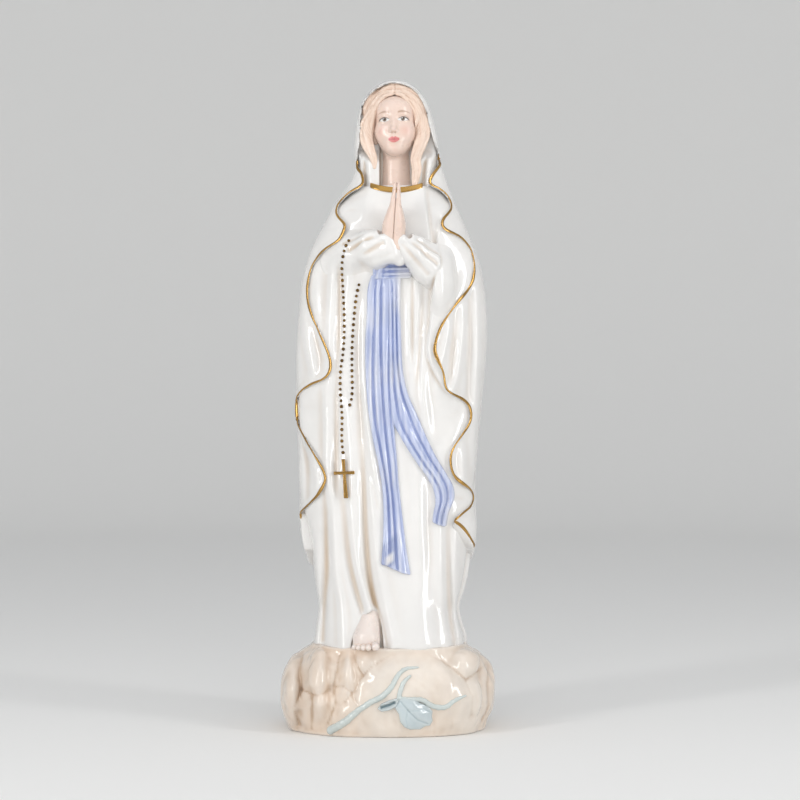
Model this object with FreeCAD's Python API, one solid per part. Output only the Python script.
"""Glazed porcelain madonna statue, about 300 mm tall, built up the way a porcelain figure maker builds one.

Hollow castings (rock base, robe, mantle, head) and solid pressed pieces (hair, under-veil, hands, sleeves, foot,
sash, neckline band, rosary, cross, vine and leaves) are luted together with slip and fired.
Frame: millimetres, +Z up, the figure faces -Y, origin at the centre of the base's footprint.
Sides are the wearer's own: her right is at -X.
"""
import FreeCAD
import Part
import math
import os

Vector = FreeCAD.Vector

# ---- driving dimensions (mm) ----
STATUE_HEIGHT = 300.0         # base underside to the crown of the hood
BASE_LENGTH = 100.0           # widest point of the rocks, along X
BASE_DEPTH = 74.0             # along Y
BASE_HEIGHT = 39.0            # flat seat that the robe stands on
BASE_WALL = 4.5               # cast wall of the base
BASE_ROOF = 5.0               # cast thickness under the seat
MANTLE_HALF_WIDTH = 44.0      # widest point of the mantle
MANTLE_THICKNESS = 2.6        # clay of the mantle over the robe
ROBE_WALL = 3.5               # cast wall of the robe
HOOD_THICKNESS = 1.8          # clay of the hood over the hair
NECK_RADIUS = 6.6
NECK_CLEARANCE = 0.15         # slip joint round the neck's spigot
NECK_BORE = 2.0               # hollow up the neck
HEAD_WALL = 3.0
FACE_HALF_WIDTH = 10.2
FACE_HALF_HEIGHT = 14.8
WRIST_RADIUS = 2.7            # tenon of each hand
WRIST_CLEARANCE = 0.15        # slip joint round each tenon
WRIST_DEPTH = 4.0             # how far a tenon goes into its sleeve
PALM_GAP = 0.05               # half of the gap between the palms
SASH_THICKNESS = 1.4
BAND_THICKNESS = 0.9          # gilded band at the neckline
BEAD_RADIUS = 0.65
BEAD_PITCH = 2.8
BEAD_GAP = 0.01                # bead to the surface it stands on
CROSS_THICKNESS = 1.0
CROSS_BAR = 1.4               # width of both bars of the cross
GILDING_WIDTH = 1.1
GILDING_THICKNESS = 0.3
PLEATS = 13                   # folds round the skirt
PLEAT_DEPTH = 1.1             # at the hem, fading out at the waist
VINE_RADIUS = 1.4
VENT_RADIUS = 1.5             # lets air out of the figure into the base while it is fired

# ---- proportions worked out from the driving dimensions ----
UNIT = STATUE_HEIGHT / 300.0  # heights below are for a 300 mm statue
WIDE = MANTLE_HALF_WIDTH / 44.0
MIDLINE = 3.0                 # the head and hands stand this far towards +X of the base's centre
FACE_HEIGHT = 279.0 * UNIT    # middle of the face
NECK_SEAT = 240.0 * UNIT      # where the neck's spigot rests inside the collar
COLLAR_HEIGHT = 249.5 * UNIT
FRONT = -90.0                 # further forward than anything on the statue
WAIST_HEIGHT = 205.0 * UNIT
OUTLINE_POINTS = 52           # points round one cross-section, four to a pleat
EDGE_POINTS = 120             # points along the mantle's edge

# Cross-sections from the ground up: height, centre x, half width, depth to the front, depth to the back.
# SKIRT is for a 39 mm base; a taller or lower base squeezes or stretches it.
SKIRT = [(48.0, 0.3, 33.2, 25.0, 25.5), (56.0, 0.0, 31.6, 23.5, 24.5), (64.0, 0.6, 33.6, 23.0, 25.0),
         (74.0, 1.0, 35.4, 22.5, 25.0), (86.0, 1.0, 37.0, 22.3, 25.2)]
TORSO = [(98.0, 0.3, 38.4, 22.3, 25.2), (124.0, -0.4, 38.7, 22.6, 25.0), (147.0, 0.0, 40.6, 22.6, 24.6),
         (170.0, 1.3, 41.2, 22.2, 24.0), (190.0, 2.0, 41.0, 21.4, 23.0), (207.0, 2.1, 39.6, 20.8, 21.8),
         (221.0, 2.4, 35.6, 20.4, 20.4), (231.0, 2.8, 30.6, 19.4, 18.8), (240.0, 3.0, 24.8, 17.4, 16.6),
         (246.0, 3.0, 17.6, 14.2, 14.2), (COLLAR_HEIGHT / UNIT, 3.0, 11.0, 10.6, 10.8)]
HOOD = [(252.0, 4.4, 23.0, 15.0, 18.6), (262.0, 4.4, 20.4, 15.6, 17.6), (272.0, 4.0, 19.6, 15.8, 17.2),
        (281.0, 3.6, 18.2, 15.2, 16.2), (288.0, 3.2, 16.2, 13.8, 14.4), (293.5, 3.0, 13.2, 11.4, 11.8),
        (297.5, 3.0, 9.2, 8.0, 8.4), (300.0, 3.0, 3.6, 3.2, 3.4)]
ROCKS = [(0.0, 0.870, 0.900), (3.5, 0.930, 0.945), (9.0, 0.975, 0.985), (16.0, 1.000, 1.000), (23.0, 0.985, 0.990),
         (29.5, 0.930, 0.965), (34.5, 0.860, 0.930), (39.0, 0.780, 0.880)]

# The mantle's front edges, from the brow down to the hem, as (x, height). The gilding follows them.
HER_RIGHT_EDGE = [(-12.6, 284.0), (-14.0, 272.0), (-13.2, 262.0), (-11.0, 254.0), (-15.8, 248.0), (-23.0, 240.5),
                  (-19.6, 232.5), (-24.6, 222.0), (-35.4, 204.0), (-34.0, 186.0), (-26.4, 168.0), (-31.0, 159.5),
                  (-41.6, 149.0), (-37.0, 135.0), (-27.6, 114.0), (-33.0, 104.0), (-39.5, 97.0)]
HER_LEFT_EDGE = [(18.8, 284.0), (21.4, 272.0), (22.2, 262.0), (18.2, 253.0), (23.6, 248.0), (27.8, 242.0),
                 (23.8, 233.5), (32.6, 226.0), (38.0, 214.0), (33.0, 200.0), (23.6, 187.0), (20.8, 174.5),
                 (25.0, 160.0), (34.2, 151.5), (36.6, 144.0), (29.6, 130.0), (28.8, 120.0), (36.0, 110.0),
                 (30.4, 99.0), (29.6, 90.0)]
HOOD_ARCH = [(-8.0, 291.5), (3.6, 296.2), (14.4, 291.0)]
HEM_BACK = 62.0               # height of the mantle's hem behind
HEM_SLOPE = 0.72              # how much it rises for each millimetre forward

RIGHT_TAIL = [(-6.4, 209.0), (-8.6, 198.0), (-9.6, 180.0), (-9.4, 162.0), (-7.0, 142.0), (-3.6, 122.0),
              (-2.2, 104.0), (-3.0, 79.0), (9.4, 75.0), (7.2, 94.0), (5.4, 116.0), (3.4, 138.0), (3.2, 160.0),
              (2.4, 185.0), (3.2, 207.0)]
LEFT_TAIL = [(3.5, 207.0), (3.0, 185.0), (3.8, 160.0), (4.0, 140.0), (11.0, 127.0), (18.6, 113.0), (21.0, 105.0),
             (19.6, 94.5), (26.4, 94.5), (30.0, 108.0), (27.0, 118.0), (20.4, 130.0), (14.0, 142.0), (8.8, 158.0),
             (6.6, 178.0), (8.4, 207.0)]
WAISTBAND = (-6.4, 11.4, 207.2, 214.4)       # x from, x to, height from, height to
ROSARY_LONG = [(-17.6, 223.6), (-20.6, 213.0), (-20.4, 196.0), (-20.2, 178.0), (-21.6, 162.0), (-21.0, 145.0),
               (-20.2, 127.5)]
ROSARY_SHORT = [(-13.2, 203.6), (-15.2, 190.0), (-16.4, 176.0), (-16.8, 160.0), (-17.2, 152.0), (-19.0, 147.6)]
CROSS = (-19.8, 116.6, 17.6, 9.4, 4.6)       # x, height, length, span, how far the arms are below the top
WRISTS = {"right": Vector(-2.4, -27.0, 226.0), "left": Vector(8.4, -27.0, 226.0)}
ELBOWS = {"right": Vector(-19.0, -12.0, 209.0), "left": Vector(20.0, -12.0, 206.0)}
FOOT = Vector(-9.0, -23.6, BASE_HEIGHT + 2.6)
STEMS = [[(-26.0, 3.0), (-14.0, 9.5), (-3.0, 19.0), (4.0, 29.5), (12.0, 33.5)],
         [(-2.0, 17.0), (8.0, 20.5), (18.0, 18.0), (27.0, 16.5), (33.0, 20.0)],
         [(4.0, 20.0), (6.0, 28.0), (10.0, 31.0)]]
LEAVES = [((0.5, 17.0), (5.6, 2.4), 15.0), ((11.0, 15.5), (7.0, 4.6), 0.0), ((17.0, 8.5), (6.6, 6.0), -35.0),
          ((24.0, 10.0), (5.4, 4.6), 25.0)]


def closed_spline(points):
    """A closed curve whose knots are evenly numbered, so that all the sections of a loft share them."""
    curve = Part.BSplineCurve()
    curve.interpolate(Points=points, PeriodicFlag=True, Parameters=list(range(len(points) + 1)))
    return Part.Wire([curve.toShape()])


def pleat(angle, height):
    """How far a pleat stands in or out: nothing at the waist, the full depth at the hem."""
    share = max(0.0, (WAIST_HEIGHT - height) / (WAIST_HEIGHT - BASE_HEIGHT))
    return PLEAT_DEPTH * share * math.cos(PLEATS * angle)


def section(height, centre, half_width, to_front, to_back, pleated, squareness=2.25):
    """One egg-shaped cross-section, deeper on one side than on the other."""
    points = []
    for i in range(OUTLINE_POINTS):
        angle = 2 * math.pi * i / OUTLINE_POINTS
        across, along = math.cos(angle), math.sin(angle)
        fold = pleat(angle, height) if pleated else 0.0
        depth = (to_back if along > 0 else to_front) + fold
        x = centre + (half_width + fold) * math.copysign(abs(across) ** (2 / squareness), across)
        y = depth * math.copysign(abs(along) ** (2 / squareness), along)
        points.append(Vector(x, y, height))
    return closed_spline(points)


def draped(rows, grow=0.0, pleated=False):
    """A loft through cross-sections given for a 300 mm statue, grown or shrunk by a thickness."""
    wires = [section(h * UNIT, c, w * WIDE + grow, f + grow, b + grow, pleated) for h, c, w, f, b in rows]
    return Part.makeLoft(wires, True, False)


def skirt_rows():
    """The skirt's cross-sections between the top of the rocks and the knees."""
    hem, knees = BASE_HEIGHT / UNIT, TORSO[0][0]
    return [(hem + (row[0] - 39.0) * (knees - hem) / (knees - 39.0),) + row[1:] for row in SKIRT]


def robe_skin(grow=0.0):
    """The outside of the robe, or a skin that stands off it by a thickness."""
    hem = (BASE_HEIGHT / UNIT, 0.5, 35.6, 26.5, 26.5)
    return draped([hem] + skirt_rows() + TORSO, grow, pleated=True)


def rock_section(height, length_share, depth_share, inset):
    """One ragged cross-section of the rocks."""
    points = []
    for i in range(OUTLINE_POINTS):
        angle = 2 * math.pi * i / OUTLINE_POINTS
        ragged = 1 - 0.025 * math.sin(2 * angle) ** 2 * (1 + math.cos(3 * angle + height / 9))
        x = (BASE_LENGTH / 2 * length_share * ragged - inset) * math.cos(angle)
        y = (BASE_DEPTH / 2 * depth_share * ragged - inset) * math.sin(angle)
        points.append(Vector(x, y, height))
    return closed_spline(points)


def rock_outer():
    return Part.makeLoft([rock_section(h * BASE_HEIGHT / 39.0, a, b, 0.0) for h, a, b in ROCKS], True, False)


def rock_base():
    """Hollow rocks, open underneath, with a vent up into the figure."""
    levels = [(h * BASE_HEIGHT / 39.0, a, b) for h, a, b in ROCKS]
    roof = BASE_HEIGHT - BASE_ROOF
    inside = [(-1.0, levels[0][1], levels[0][2])] + [level for level in levels if level[0] < roof - 3]
    top = inside[-1]
    inside.append((roof, top[1] - 0.07, top[2] - 0.07))
    cavity = Part.makeLoft([rock_section(h, a, b, BASE_WALL) for h, a, b in inside], True, False)
    vent = Part.makeCylinder(VENT_RADIUS, BASE_ROOF + 4, Vector(0, 4, roof - 2))
    return rock_outer().cut([cavity, vent])


def figure_cavity():
    """The hollow inside the robe, open at the hem."""
    rows = [(BASE_HEIGHT / UNIT - 1.0, 0.5, 35.6, 26.5, 26.5)] + skirt_rows() + TORSO[:-3]
    return draped(rows, -ROBE_WALL)


def neck_hole():
    """The seat for the neck's spigot, and a narrower way through into the figure's hollow."""
    seat = Part.makeCylinder(NECK_RADIUS + NECK_CLEARANCE, 60, Vector(MIDLINE, 0, NECK_SEAT))
    return seat.fuse(Part.makeCylinder(NECK_BORE, 20 * UNIT, Vector(MIDLINE, 0, 225 * UNIT)))


def prism(points, back=0.0):
    """A straight-sided outline in the XZ plane, pushed through from the front to the depth given."""
    corners = [Vector(x * WIDE, FRONT, z * UNIT) for x, z in points]
    face = Part.Face(Part.makePolygon(corners + corners[:1]))
    return face.extrude(Vector(0, back - FRONT, 0))


def opening_edge(margin):
    """The mantle's front edge as one curve: up her right side, over the hood and down her left."""
    route = HER_RIGHT_EDGE[::-1] + HOOD_ARCH + HER_LEFT_EDGE
    edge = Part.BSplineCurve()
    edge.interpolate(Points=[Vector(x * WIDE, FRONT, z * UNIT) for x, z in route])
    if margin == 0:
        return edge
    moved = []
    for i in range(EDGE_POINTS + 1):
        at = edge.FirstParameter + (edge.LastParameter - edge.FirstParameter) * i / EDGE_POINTS
        way = edge.tangent(at)[0]
        moved.append(edge.value(at) + Vector(-way.z, 0, way.x) * margin)
    wider = Part.BSplineCurve()
    wider.interpolate(Points=moved)
    return wider


def front_opening(margin=0.0):
    """What the mantle leaves open in front, pushed through to the middle of the figure."""
    edge = opening_edge(margin)
    first, last = edge.StartPoint, edge.EndPoint
    floor = [last, Vector(last.x, FRONT, 20), Vector(first.x, FRONT, 20), first]
    outline = Part.Wire([edge.toShape()] + Part.makePolygon(floor).Edges)
    opening = Part.Face(outline).extrude(Vector(0, -2.0 - FRONT, 0))
    return opening if opening.Volume > 0 else opening.reversed()


def below_hem():
    """Everything under the mantle's hem, which rises towards the front."""
    deep, low = 80.0, -60.0
    side = [Vector(-80, deep, low), Vector(-80, FRONT, low),
            Vector(-80, FRONT, (HEM_BACK + HEM_SLOPE * (26 - FRONT)) * UNIT),
            Vector(-80, deep, (HEM_BACK + HEM_SLOPE * (26 - deep)) * UNIT)]
    return Part.Face(Part.makePolygon(side + side[:1])).extrude(Vector(160, 0, 0))


def mantle_rows():
    shell = [(h, c, w + MANTLE_THICKNESS / WIDE, f + MANTLE_THICKNESS, b + MANTLE_THICKNESS)
             for h, c, w, f, b in skirt_rows()[1:] + TORSO[:-3]]
    shoulders = [(240.0, 3.6, 29.2, 20.0, 20.4)]
    return shell + shoulders + HOOD


def hood_inside(grow=0.0):
    """The space under the hood, for the hair, head and under-veil."""
    rows = [(h, c, w, f, b) for h, c, w, f, b in HOOD[:-1]]
    rows[-1] = (298.0, 3.0, 7.4, 6.6, 6.8)
    return draped([(245.0, 4.0, 24.6, 15.6, 18.4)] + rows, -HOOD_THICKNESS + grow)


def mantle(robe_outer, hood_space):
    return draped(mantle_rows()).cut([robe_outer, hood_space, front_opening(), below_hem()])


def gilding(robe_outer, hood_space):
    """The gold lines along the mantle's front edges: a thin raised strip on its outside."""
    strip = front_opening(GILDING_WIDTH).cut(front_opening()).common(between(40, 262))
    raised = strip.common(draped(mantle_rows(), GILDING_THICKNESS))
    return raised.cut([draped(mantle_rows()), robe_outer, hood_space, below_hem()])


def head_outer():
    """Skull, jaw and neck as one mass, tipped back a little."""
    skull = Part.makeSphere(1.0)
    stretch = FreeCAD.Matrix()
    stretch.scale(Vector(FACE_HALF_WIDTH, 11.6, FACE_HALF_HEIGHT))
    skull = skull.transformGeometry(stretch)
    skull.rotate(Vector(), Vector(1, 0, 0), -10)
    skull.translate(Vector(MIDLINE + 0.2, -3.0, FACE_HEIGHT))
    neck = Part.makeCylinder(NECK_RADIUS, FACE_HEIGHT - NECK_SEAT, Vector(MIDLINE, 0, NECK_SEAT))
    return skull.fuse(neck)


def head():
    hollow = Part.makeSphere(FACE_HALF_WIDTH - HEAD_WALL, Vector(MIDLINE, -2.0, FACE_HEIGHT))
    bore = Part.makeCylinder(NECK_BORE, FACE_HEIGHT - 236 * UNIT, Vector(MIDLINE, 0, 236 * UNIT))
    return head_outer().cut([hollow, bore])


def face_oval():
    """The opening that the hair leaves for the face."""
    oval = Part.makeCylinder(1.0, 1.0, Vector(), Vector(0, -1, 0))
    stretch = FreeCAD.Matrix()
    stretch.scale(Vector(FACE_HALF_WIDTH, 60, FACE_HALF_HEIGHT - 0.6))
    oval = oval.transformGeometry(stretch)
    oval.translate(Vector(MIDLINE + 0.2, -3.0, FACE_HEIGHT - 0.8))
    return oval


def between(low, high):
    return Part.makeBox(200, 200, (high - low) * UNIT, Vector(-100, -100, low * UNIT))


def throat(room):
    """The open space in front of the neck, with a little room each side."""
    half = NECK_RADIUS + room
    return Part.makeBox(2 * half, -FRONT, 30 * UNIT, Vector(MIDLINE - half, FRONT, 240 * UNIT))


def hair(hood_space):
    """Hair between the head and the hood, parted in front, with a lock down each side of the neck."""
    neck_front = throat(1.6)
    mass = draped([(h, c, w - 1.0, f - 1.6, b) for h, c, w, f, b in HOOD[1:-1]], -HOOD_THICKNESS)
    return mass.common(between(264, 300)).common(hood_space).cut([head_outer(), face_oval(), neck_front])


def under_veil(robe_outer, hood_space):
    """The white veil inside the hood, from the hair down to the collar, open over the throat."""
    mass = draped([(245.0, 4.0, 21.6, 12.6, 18.0), (250.0, 4.2, 19.6, 10.4, 17.0), (264.0, 4.2, 18.6, 9.6, 16.0)],
                  -HOOD_THICKNESS)
    return mass.common(hood_space).cut([robe_outer, neck_hole(), head_outer(), throat(0.8)])


def sleeve(side, robe_outer, others):
    """A wide sleeve over a raised forearm, with a socket for the hand's tenon."""
    elbow, wrist = ELBOWS[side] * 1.0, WRISTS[side] * 1.0
    elbow.z, wrist.z = elbow.z * UNIT, wrist.z * UNIT
    along = wrist - elbow
    along.normalize()
    arm = Part.makeCone(10.5, 6.4, (wrist - elbow).Length, elbow, along)
    socket = Part.makeCylinder(WRIST_RADIUS + WRIST_CLEARANCE, 60, wrist - tenon_way(side) * WRIST_DEPTH,
                               tenon_way(side))
    arm = arm.fuse(Part.makeSphere(10.5, elbow)).fuse(Part.makeSphere(6.4, wrist))
    return arm.cut([robe_outer, socket] + others)


def tenon_way(side):
    """Which way a hand leaves its sleeve: up, and in towards the other hand."""
    way = Vector(MIDLINE + 0.3, -30.0, 244.0) - WRISTS[side]
    way.normalize()
    return way


def hand(side):
    """One of the two joined hands: a tenon, the back of the hand, and fingers that taper to the tips."""
    out = -1 if side == "right" else 1
    plane = MIDLINE + 0.3
    rows = [(231.5, -28.6, 3.6, 4.6), (235.0, -29.4, 3.0, 5.6), (240.0, -30.2, 2.4, 5.4), (245.0, -30.8, 2.0, 4.2),
            (248.5, -31.0, 1.7, 2.8), (250.3, -31.0, 1.1, 1.6)]
    wires = []
    for height, y, thick, deep in rows:
        points = []
        for i in range(12):
            angle = 2 * math.pi * i / 12
            across = plane + out * thick * (0.7 + math.cos(angle))
            points.append(Vector(across, y + deep * math.sin(angle), height * UNIT))
        wires.append(closed_spline(points))
    palm = Part.makeLoft(wires, True, False)
    start = Vector(WRISTS[side].x, WRISTS[side].y, WRISTS[side].z * UNIT)
    tenon = Part.makeCylinder(WRIST_RADIUS, 9.5 + WRIST_DEPTH, start - tenon_way(side) * WRIST_DEPTH,
                              tenon_way(side))
    keep = Part.makeBox(60, 60, 60, Vector(plane - 60 - PALM_GAP if out < 0 else plane + PALM_GAP, -60, 210 * UNIT))
    return palm.fuse(tenon).common(keep)


def applied(outline, thickness, robe_outer):
    """A strip of clay laid on the front of the robe, cut to an outline."""
    return prism(outline, -4.0).common(robe_skin(thickness)).cut(robe_outer)


def rectangle(x_from, x_to, low, high):
    return [(x_from, low), (x_to, low), (x_to, high), (x_from, high)]


def cross(robe_outer):
    x, middle, length, span, arms_down = CROSS
    arms = middle + length / 2 - arms_down
    bar = rectangle(x - CROSS_BAR / 2, x + CROSS_BAR / 2, middle - length / 2, middle + length / 2)
    beam = rectangle(x - span / 2, x + span / 2, arms - CROSS_BAR / 2, arms + CROSS_BAR / 2)
    return applied(bar, CROSS_THICKNESS, robe_outer).fuse(applied(beam, CROSS_THICKNESS, robe_outer)).removeSplitter()


def neckline_band(robe_outer):
    """The gilded band round the neckline, in two lengths, one each side of the fingertips."""
    lengths = [rectangle(-6.6, 2.0, 246.0, 248.8), rectangle(6.6, 15.0, 246.0, 248.8)]
    pieces = [applied(outline, BAND_THICKNESS, robe_outer) for outline in lengths]
    return Part.makeCompound([solid for piece in pieces for solid in piece.Solids])


def side_surface(shape):
    """The curved surface of a loft, which is its largest face."""
    return max(shape.Faces, key=lambda face: face.Area).Surface


def front_of(surface, x, height):
    """The point where a straight look from the front first meets a loft's surface."""
    hits, _ = surface.intersect(Part.Line(Vector(x, FRONT, height), Vector(x, 0, height)))
    return min((Vector(p.X, p.Y, p.Z) for p in hits), key=lambda p: p.y)


def outward(surface, place):
    u, v = surface.parameter(place)
    normal = surface.normal(u, v)
    return normal if normal.y < 0 else normal * -1


def evenly(points, pitch):
    """Places along a smooth curve through the points, one pitch apart."""
    curve = Part.BSplineCurve()
    curve.interpolate(Points=[Vector(x * WIDE, 0, z * UNIT) for x, z in points])
    count = int(curve.length() / pitch)
    return [curve.value(curve.parameterAtDistance(i * pitch)) for i in range(count + 1)]


def rosary_beads(robe_outer, right_sleeve):
    """Small raised beads along both strings, each a dome that stands on the robe or on the sleeve over it."""
    beads = []
    for spot in evenly(ROSARY_LONG, BEAD_PITCH) + evenly(ROSARY_SHORT, BEAD_PITCH):
        surface = side_surface(robe_outer)
        place = front_of(surface, spot.x, spot.z)
        over = Part.makeLine(Vector(spot.x, FRONT, spot.z), place).common(right_sleeve)
        if over.Vertexes:
            place = min((vertex.Point for vertex in over.Vertexes), key=lambda p: p.y)
            spot_there = Part.Vertex(place)
            surface = min(right_sleeve.Faces, key=lambda face: face.distToShape(spot_there)[0]).Surface
        way = outward(surface, place)
        bead = Part.makeSphere(BEAD_RADIUS, place + way * BEAD_GAP, way, 0, 90, 360)
        if bead.distToShape(right_sleeve)[0] < BEAD_GAP / 2:
            bead = bead.cut([right_sleeve, robe_outer])
        beads.append(bead)
    return Part.makeCompound(beads)


def ellipsoid(centre, radii, tilt):
    ball = Part.makeSphere(1.0)
    stretch = FreeCAD.Matrix()
    stretch.scale(Vector(*radii))
    ball = ball.transformGeometry(stretch)
    ball.rotate(Vector(), Vector(0, 1, 0), tilt)
    ball.translate(centre)
    return ball


def foot(robe_outer, rocks):
    """Her bare right foot, coming out from under the hem, with five toes."""
    mass = ellipsoid(FOOT, (6.8, 8.2, 5.1), 0)
    for i in range(5):
        spread = (i - 2) * 2.6
        toe = Part.makeSphere(1.8 - 0.1 * abs(i - 3), FOOT + Vector(spread, -7.2 + 0.3 * (i - 3) ** 2, -2.4))
        mass = mass.fuse(toe)
    return mass.cut([robe_outer, rocks])


def vine(rocks):
    """Stems that climb over the front of the rocks."""
    surface = side_surface(rocks)
    stems = []
    for route in STEMS:
        curve = Part.BSplineCurve()
        curve.interpolate(Points=[front_of(surface, x, z) for x, z in route])
        start = curve.value(curve.FirstParameter)
        ring = Part.makeCircle(VINE_RADIUS, start, curve.tangent(curve.FirstParameter)[0])
        stems.append(Part.Wire([curve.toShape()]).makePipeShell([Part.Wire([ring])], True, False))
    return stems[0].multiFuse(stems[1:]).cut(rocks)


def leaves(rocks, stems):
    whole = []
    for (x, z), (long_radius, short_radius), tilt in LEAVES:
        place = front_of(side_surface(rocks), x, z)
        whole.append(ellipsoid(place, (long_radius, 1.9, short_radius), tilt))
    return whole[0].multiFuse(whole[1:]).cut([rocks, stems])


def build():
    robe_outer = robe_skin()
    rocks = rock_outer()
    hood_space = hood_inside().cut(robe_outer)
    right_sleeve = sleeve("right", robe_outer, [])
    left_sleeve = sleeve("left", robe_outer, [right_sleeve])
    arms = [right_sleeve, left_sleeve]
    hands = [hand("right").cut(right_sleeve), hand("left").cut(left_sleeve)]
    cloak = mantle(robe_outer, hood_space).cut(arms)
    stems = vine(rocks)
    veil = under_veil(robe_outer, hood_space)
    in_front = arms + hands
    waistband = applied(rectangle(*WAISTBAND), SASH_THICKNESS, robe_outer).cut(in_front)
    return {
        "rock_base": rock_base(),
        "robe": robe_outer.cut([figure_cavity(), neck_hole()]),
        "mantle": cloak,
        "mantle_gilding": gilding(robe_outer, hood_space).cut(arms),
        "head": head(),
        "hair": hair(hood_space),
        "under_veil": veil,
        "right_sleeve": right_sleeve,
        "left_sleeve": left_sleeve,
        "right_hand": hands[0],
        "left_hand": hands[1],
        "right_foot": foot(robe_outer, rocks),
        "sash_waistband": waistband,
        "sash_right_tail": applied(RIGHT_TAIL, SASH_THICKNESS, robe_outer).cut(in_front + [waistband]),
        "sash_left_tail": applied(LEFT_TAIL, SASH_THICKNESS, robe_outer).cut(in_front + [waistband]),
        "neckline_band": neckline_band(robe_outer).cut(veil),
        "rosary_beads": rosary_beads(robe_outer, right_sleeve),
        "rosary_cross": cross(robe_outer),
        "vine_stems": stems,
        "vine_leaves": leaves(rocks, stems),
    }


def whole_box(shapes):
    """The box round the whole statue, measured on the exact surfaces."""
    whole = FreeCAD.BoundBox()
    for shape in shapes:
        whole.add(shape.optimalBoundingBox(False, False))
    return whole


os.makedirs("parts", exist_ok=True)
nodes = build()
footprint = whole_box(nodes.values())
to_origin = Vector(-footprint.Center.x, -footprint.Center.y, -footprint.ZMin)
for name, shape in nodes.items():
    shape.translate(to_origin)
    shape.exportStep(os.path.join("parts", name + ".step"))
    box = shape.optimalBoundingBox(False, False)
    print(name, len(shape.Solids), "solids", round(shape.Volume), "mm3 valid", shape.isValid(),
          [round(v, 1) for v in (box.XMin, box.XMax, box.YMin, box.YMax, box.ZMin, box.ZMax)])
print("moved to the origin by", [round(v, 2) for v in to_origin])
